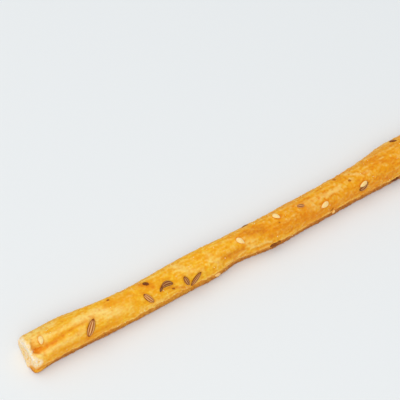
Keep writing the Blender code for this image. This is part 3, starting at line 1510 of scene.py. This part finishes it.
@dataclass
class Toppings:
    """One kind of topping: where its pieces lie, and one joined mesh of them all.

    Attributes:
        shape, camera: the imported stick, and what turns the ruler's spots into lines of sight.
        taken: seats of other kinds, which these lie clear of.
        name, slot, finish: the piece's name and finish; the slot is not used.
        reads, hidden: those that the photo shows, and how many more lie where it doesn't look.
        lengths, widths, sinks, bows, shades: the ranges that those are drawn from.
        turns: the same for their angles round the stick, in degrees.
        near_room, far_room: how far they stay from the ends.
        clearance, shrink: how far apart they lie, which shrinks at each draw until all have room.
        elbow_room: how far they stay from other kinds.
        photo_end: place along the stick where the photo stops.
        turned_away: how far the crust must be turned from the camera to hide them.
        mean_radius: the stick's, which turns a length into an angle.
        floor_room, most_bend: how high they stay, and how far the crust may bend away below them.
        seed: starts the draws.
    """

    shape: BakedShape
    camera: PhotoCamera
    taken: Sequence[Seat] = ()
    name: str = "toppings"
    slot: str = "crust"
    finish: Finish = Finish()
    reads: tuple[Read, ...] = ()
    hidden: int = 0
    lengths: Range = (3.0, 3.4)
    widths: Range = (1.7, 1.9)
    sinks: Range = (0.3, 0.45)
    bows: Range = (-0.3, 0.3)
    shades: Range = (0.1, 0.9)
    turns: Range = (-50.0, 200.0)
    near_room: float = 5.0
    far_room: float = 5.0
    clearance: float = 6.0
    shrink: float = 0.995
    elbow_room: float = 4.5
    photo_end: float = 66.0
    turned_away: float = 0.5
    mean_radius: float = 6.0
    floor_room: float = 0.2
    most_bend: float = 0.55
    seed: int = 1

    def __post_init__(self) -> None:
        """Find the seats: those that the photo shows, then more where it doesn't look."""
        self.dice = random.Random(self.seed)
        self.seats = [self.read_seat(read) for read in self.reads]
        gap = self.clearance
        while len(self.seats) < len(self.reads) + self.hidden:
            self.strew(gap)
            gap *= self.shrink

    def read_seat(self, read: Read) -> Seat:
        """Find the seat of a topping that the photo shows.

        Args:
            read: what the ruler said.

        Returns:
            The seat.
        """
        halfway = [(tip + tail) / 2.0 for tip, tail in zip(read.tip, read.tail)]
        spots = (halfway, read.tip, read.tail)
        middle, *ends = (self.shape.seen(*self.camera.sight(*spot)) for spot in spots)
        details = {"width": read.width, "bow": read.bow, "sink": read.sink, "shade": read.shade}
        return self.shape.seat(middle, [point for point, _ in ends], **details)

    def draw_spot(self) -> tuple[float, float]:
        """Draw a place along the stick and an angle round it."""
        low, high = self.shape.low[0] + self.near_room, self.shape.high[0] - self.far_room
        return self.dice.uniform(low, high), math.radians(self.dice.uniform(*self.turns))

    def strew(self, gap: float) -> None:
        """Draw one more topping, and keep it if the photo doesn't show it and it has room.

        Args:
            gap: how far it must lie from the others.
        """
        dice = self.dice
        x, angle = self.draw_spot()
        length, width = dice.uniform(*self.lengths), dice.uniform(*self.widths)
        heading = dice.uniform(0.0, math.pi)
        bow, sink = dice.uniform(*self.bows), dice.uniform(*self.sinks)
        shade = dice.uniform(*self.shades)
        middle = self.shape.around(x, angle)
        shown = middle[1].dot(self.camera.axes()[2]) < self.turned_away
        near = any((seat.origin - middle[0]).length < gap for seat in self.seats)
        touching = any((seat.origin - middle[0]).length < self.elbow_room for seat in self.taken)
        if (x < self.photo_end and shown) or near or touching:
            return
        reach = 0.5 * length * math.cos(heading)
        turn = 0.5 * length * math.sin(heading) / self.mean_radius
        ends = [self.shape.around(x + way * reach, angle + way * turn)[0] for way in (-1.0, 1.0)]
        if min(point.z for point in (middle[0], *ends)) < 0.5 * width + self.floor_room:
            return
        seat = self.shape.seat(middle, ends, width=width, bow=bow, sink=sink, shade=shade)
        if seat.drop <= self.most_bend:
            self.seats.append(seat)

    def form(self, bm: bmesh.types.BMesh, seat: Seat) -> None:
        """Add one topping to the mesh, on its seat."""
        raise NotImplementedError

    def build(self) -> bpy.types.Object:
        """Make the piece.

        Returns:
            The piece.
        """
        bm = bmesh.new()
        for seat in self.seats:
            self.form(bm, seat)
        piece = closed_piece(bm, self.name, self.finish.build())
        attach(piece, BODY)
        return piece


@dataclass
class CarawaySeeds(Toppings):
    """Slim ribbed crescents, pointed at both ends.

    Attributes:
        ribs: how many a seed has.
        core, rib_height: how thick it is between them, and how far they stand out, as shares of
            half its width.
        flatness, belly: its heights above and below its widest level, the same way.
        taper, sharpness: how much slimmer its tail is, and how sharply its ends close.
        cells: those of its mesh, along and round.
    """

    name: str = "caraway_seeds"
    slot: str = "caraway_seed"
    finish: Finish = CarawayFinish()
    hidden: int = 10
    clearance: float = 13.0
    lengths: Range = (4.4, 6.0)
    widths: Range = (1.2, 1.6)
    seed: int = 5
    ribs: int = 7
    core: float = 0.86
    rib_height: float = 0.16
    flatness: float = 0.82
    belly: float = 0.7
    taper: float = 0.1
    sharpness: float = 0.55
    cells: tuple[int, int] = (22, 56)
    reads: tuple[Read, ...] = (
        Read((60.5, 10.8), (73.2, -3.3), 2.35, 0.15, 0.25, 0.85),
        Read((128.8, -2.0), (134.6, 9.6), 1.85, -0.1, 0.3, 0.95),
        Read((147.4, -0.4), (159.8, 1.8), 2.0, 0.7, 0.25, 0.2),
        Read((144.8, 3.4), (149.4, -1.2), 1.0, 0.0, 0.35, 0.0),
        Read((172.8, 0.6), (173.8, 10.4), 1.65, -0.12, 0.25, 0.4),
        Read((175.0, 11.8), (190.2, 4.0), 1.6, 0.12, 0.25, 0.45),
        Read((305.0, -10.4), (313.2, -7.4), 1.7, 0.1, 0.7, 0.6),
        Read((368.0, 4.2), (379.6, 0.2), 1.8, -0.3, 0.3, 0.3),
        Read((246.0, -16.6), (254.0, -16.8), 1.1, 0.05, 0.7, 0.1),
        Read((416.5, -25.6), (424.0, -23.5), 1.1, 0.1, 0.45, 0.1),
    )

    def form(self, bm: bmesh.types.BMesh, seat: Seat) -> None:
        """Add one seed: a tube that tapers to both ends, with ribs, bent over the crust.

        Args:
            bm: takes the seed.
            seat: where it lies.
        """
        rib, tint = mask_layer(bm, "rib"), mask_layer(bm, "shade")
        place, radius = seat.matrix(), seat.width / 2.0
        lift = radius * self.flatness * (1.0 - 2.0 * seat.sink)
        turn = self.dice.uniform(0.0, math.tau)
        for vert, share, angle in rolled_grid(bm, *self.cells):
            off, up = 2.0 * share - 1.0, math.sin(angle)
            thick = max(math.sin(math.pi * share), 0.0) ** self.sharpness * (1.0 - self.taper * off)
            ridge = (0.5 + 0.5 * math.cos(self.ribs * angle + turn)) ** 2
            girth = radius * thick * (self.core + self.rib_height * ridge)
            rise = girth * up * (self.flatness if up > 0.0 else self.belly)
            vert.co = place @ Vector((
                seat.length / 2.0 * off,
                girth * math.cos(angle) + seat.bow * (1.0 - off * off),
                rise + lift - seat.drop * off * off,
            ))
            # Ribs pale and tint light only on the seed's upper side, darker towards its sides and
            # underside: painted light and painted shade.
            crown = min(max(1.6 * up + 0.1, 0.0), 1.0)
            lit = crown * min(max(4.0 * thick - 1.4, 0.0), 1.0)
            vert[rib], vert[tint] = ridge * lit, seat.shade * (0.4 + 0.6 * lit)


@dataclass
class SesameSeeds(Toppings):
    """Flat ivory drops.

    Attributes:
        flatness: thickness of a seed, as a share of its width.
        breadth, taper: how broad it is, and how much slimmer its tail is.
        lean: how near its tail it is widest, 1 being halfway.
        sharpness, edge: how sharply its width and its thickness end.
        tip_start, tip_depth: where its brown point begins, and how brown it gets.
        cells: those of its mesh, along and round.
    """

    name: str = "sesame_seeds"
    slot: str = "sesame_seed"
    finish: Finish = SesameFinish()
    hidden: int = 6
    clearance: float = 17.0
    lengths: Range = (2.9, 3.4)
    widths: Range = (1.7, 2.0)
    sinks: Range = (0.15, 0.35)
    seed: int = 9
    flatness: float = 0.42
    breadth: float = 1.12
    taper: float = 0.22
    lean: float = 0.82
    sharpness: float = 0.6
    edge: float = 0.5
    tip_start: float = 0.72
    tip_depth: float = 0.6
    cells: tuple[int, int] = (18, 24)
    reads: tuple[Read, ...] = (
        Read((17.3, -12.2), (15.2, -3.6), 1.6, 0.0, 0.25, 0.0),
        Read((206.6, 14.6), (200.4, 13.8), 1.5, 0.0, 0.4, 0.8),
        Read((236.5, -9.2), (242.2, -1.6), 1.7, 0.0, 0.2, 0.1),
        Read((279.4, -13.8), (285.4, -7.8), 1.75, 0.0, 0.2, 0.0),
        Read((335.0, 0.0), (326.2, 1.9), 1.9, 0.0, 0.15, 0.05),
        Read((334.2, 12.4), (337.0, 9.6), 1.3, 0.0, 0.4, 0.8),
        Read((378.8, -0.8), (370.0, 0.8), 1.85, 0.0, 0.0, 0.2),
    )

    def form(self, bm: bmesh.types.BMesh, seat: Seat) -> None:
        """Add one seed: a flattened drop, pointed and browner at its tail.

        Args:
            bm: takes the seed.
            seat: where it lies.
        """
        tip, tint = mask_layer(bm, "tip"), mask_layer(bm, "shade")
        place, radius, thickness = seat.matrix(), seat.width / 2.0, seat.width * self.flatness
        lift = thickness * (0.5 - seat.sink)
        for vert, share, angle in rolled_grid(bm, *self.cells):
            off = 2.0 * share - 1.0
            swell = max(math.sin(math.pi * share ** self.lean), 0.0) ** self.sharpness
            broad = swell * (1.0 - self.taper * share)
            thick = max(math.sin(math.pi * share), 0.0) ** self.edge
            vert.co = place @ Vector((
                seat.length / 2.0 * off,
                radius * broad * math.cos(angle) * self.breadth,
                0.5 * thickness * thick * math.sin(angle) + lift - seat.drop * off * off,
            ))
            vert[tip] = max(0.0, (off - self.tip_start) / (1.0 - self.tip_start)) * self.tip_depth
            vert[tint] = seat.shade


@dataclass
class ToastedBits(Toppings):
    """Dark crumbs and fragments, half sunk.

    Attributes:
        flatness: thickness of a bit, as a share of its width.
        lumpiness, lump_rate: how lumpy it is, and how many lumps it has across.
    """

    name: str = "toasted_bits"
    slot: str = "toasted_bits"
    finish: Finish = ToastedFinish()
    hidden: int = 16
    lengths: Range = (0.5, 1.3)
    widths: Range = (0.4, 0.8)
    sinks: Range = (0.3, 0.5)
    seed: int = 13
    flatness: float = 0.7
    lumpiness: float = 0.45
    lump_rate: float = 3.2
    reads: tuple[Read, ...] = (
        Read((132.8, -12.0), (137.8, -8.8), 1.15, sink=0.45, shade=0.0),
        Read((263.8, 12.8), (270.5, 13.6), 1.5, sink=0.4, shade=0.1),
        Read((268.5, 13.4), (275.0, 13.0), 1.2, sink=0.45, shade=0.35),
        Read((400.0, 10.1), (409.0, 10.5), 1.1, sink=0.45, shade=0.0),
        Read((93.0, -13.4), (95.6, -13.0), 0.6, sink=0.35, shade=0.55),
        Read((156.8, 6.0), (159.4, 7.0), 0.6, sink=0.4, shade=0.5),
        Read((349.0, -17.4), (352.0, -16.0), 0.7, sink=0.4, shade=0.7),
        Read((362.6, -9.6), (365.2, -9.0), 0.7, sink=0.4, shade=0.7),
        Read((281.6, -4.2), (283.4, -3.8), 0.4, sink=0.4, shade=0.8),
        Read((332.6, 9.4), (337.8, 7.6), 0.6, sink=0.5, shade=0.55),
    )

    def form(self, bm: bmesh.types.BMesh, seat: Seat) -> None:
        """Add one bit: a squashed, lumpy ball.

        Args:
            bm: takes the bit.
            seat: where it lies.
        """
        tint = mask_layer(bm, "shade")
        place, size = seat.matrix(), Vector((seat.length, seat.width, seat.width * self.flatness))
        pattern = Vector((self.dice.uniform(0.0, 50.0), 0.0, 0.0))
        for vert in bmesh.ops.create_icosphere(bm, subdivisions=3, radius=0.5)["verts"]:
            lump = 1.0 + self.lumpiness * noise.noise(vert.co * self.lump_rate + pattern)
            local = Vector(part * length * lump for part, length in zip(vert.co, size))
            local.z += size.z * (0.5 - seat.sink) - seat.drop * (2.0 * local.x / seat.length) ** 2
            vert.co = place @ local
            vert[tint] = seat.shade


@dataclass
class SaltGrains(Toppings):
    """Fine grains of salt all over the crust but its underside.

    Attributes:
        tilts: how far a grain leans, in radians.
        sides: its length, width and height, as shares of its size.
        worn: how much of its edges is worn off, as a share of its sides.
    """

    name: str = "salt_grains"
    slot: str = "salt_grain"
    finish: Finish = SaltFinish()
    hidden: int = 110
    lengths: Range = (0.2, 0.34)
    sinks: Range = (0.2, 0.5)
    turns: Range = (-25.0, 205.0)
    near_room: float = 4.0
    far_room: float = 3.0
    seed: int = 17
    tilts: Range = (-0.5, 0.5)
    sides: Range = (0.7, 1.0)
    worn: float = 0.2

    def strew(self, gap: float) -> None:
        """Draw one more grain and keep it.

        Args:
            gap: plays no part, because grains are too small to need room.
        """
        point, normal = self.shape.around(*self.draw_spot())
        along = normal.orthogonal().normalized()
        size, sink = self.dice.uniform(*self.lengths), self.dice.uniform(*self.sinks)
        self.seats.append(Seat(point, along, normal, size, size, 0.0, sink=sink))

    def form(self, bm: bmesh.types.BMesh, seat: Seat) -> None:
        """Add one grain: a worn little block.

        Args:
            bm: takes the grain.
            seat: where it lies.
        """
        dice = self.dice
        turn = Matrix.Rotation(dice.uniform(0.0, math.tau), 4, "Z")
        tilt = Matrix.Rotation(dice.uniform(*self.tilts), 4, "X")
        sizes = [seat.length * dice.uniform(*self.sides) for _ in range(3)]
        lift = Matrix.Translation((0.0, 0.0, seat.length * (0.5 - seat.sink)))
        place = seat.matrix() @ lift @ turn @ tilt @ Matrix.Diagonal((*sizes, 1.0))
        cube = bmesh.ops.create_cube(bm, size=1.0)["verts"]
        edges = list(dict.fromkeys(edge for vert in cube for edge in vert.link_edges))
        made = bmesh.ops.bevel(
            bm, geom=edges, offset=self.worn, segments=1, profile=0.5, affect="EDGES", material=-1
        )["verts"]
        bmesh.ops.transform(bm, matrix=place, verts=made)


# ---------------------------------------------------------------- floor and light


@dataclass(frozen=True)
class SoftBox:
    """A large square light, in metres and watts, aimed at the stick."""

    name: str
    place: Triple
    size: float
    power: float
    colour: Triple = (1.0, 0.98, 0.94)

    def build(self) -> None:
        """Hang the light."""
        data = bpy.data.lights.new(self.name, "AREA")
        data.size = self.size
        data.energy = self.power
        data.color = self.colour
        light = bpy.data.objects.new(self.name, data)
        light.location = self.place
        light.rotation_mode = "QUATERNION"
        light.rotation_quaternion = (-Vector(self.place)).to_track_quat("-Z", "Y")
        bpy.context.scene.collection.objects.link(light)


@dataclass(frozen=True)
class Studio:
    """Plain pale floor, in metres, under soft light from above, behind and all round."""

    floor_size: float = 6.0
    sky: Colour = (0.895, 0.95, 1.0, 1.0)
    sky_strength: float = 0.58
    boxes: tuple[SoftBox, ...] = (
        SoftBox("front_box", (-0.75, -0.85, 1.3), 1.1, 12.6),
        SoftBox("back_box", (-0.25, 0.55, 1.3), 1.1, 4.2),
    )

    def build(self) -> None:
        """Lay the floor, hang the lights and set the sky."""
        bm = bmesh.new()
        bmesh.ops.create_grid(bm, x_segments=2, y_segments=2, size=self.floor_size / 2.0)
        mesh = bpy.data.meshes.new("floor")
        bm.to_mesh(mesh)
        bm.free()
        mesh.materials.append(FloorFinish().build())
        floor = bpy.data.objects.new("floor", mesh)
        bpy.context.scene.collection.objects.link(floor)
        floor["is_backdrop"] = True
        for box in self.boxes:
            box.build()
        world = bpy.data.worlds.new("soft_sky")
        world.use_nodes = True
        background = world.node_tree.nodes["Background"]
        background.inputs["Color"].default_value = self.sky
        background.inputs["Strength"].default_value = self.sky_strength
        bpy.context.scene.world = world
        bpy.context.scene.view_settings.view_transform = "Standard"


# ---------------------------------------------------------------- all of it


def report(piece: bpy.types.Object) -> None:
    """Log a piece's name and size.

    Args:
        piece: the piece.
    """
    piece.data.calc_loop_triangles()
    size = [round(length / MM, 1) for length in piece.dimensions]
    LOG.info("%s: %d triangles, %s mm", piece.name, len(piece.data.loop_triangles), size)


def write_sizes() -> None:
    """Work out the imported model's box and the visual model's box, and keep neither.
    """
    boxes = {"cad": CAD_BOX, "visual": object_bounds()}
    {name: [list(corner) for corner in box] for name, box in boxes.items()}


def main() -> None:
    """Build the camera, the studio and every piece of the stick."""
    logging.basicConfig(level=logging.INFO, format="%(name)s: %(message)s")
    camera = PhotoCamera()
    camera.build()
    Studio().build()
    shape = BakedShape(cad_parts[NODE])
    toppings: list[Toppings] = []
    pressed: list[Seat] = []
    for kind in (CarawaySeeds, SesameSeeds, ToastedBits):
        toppings.append(kind(shape, camera, tuple(pressed)))
        pressed.extend(toppings[-1].seats)
    toppings.append(SaltGrains(shape, camera))
    for part in (BreadSkin(shape, camera, pressed), *toppings):
        report(part.build())
    write_sizes()


if __name__ == "__main__":
    main()
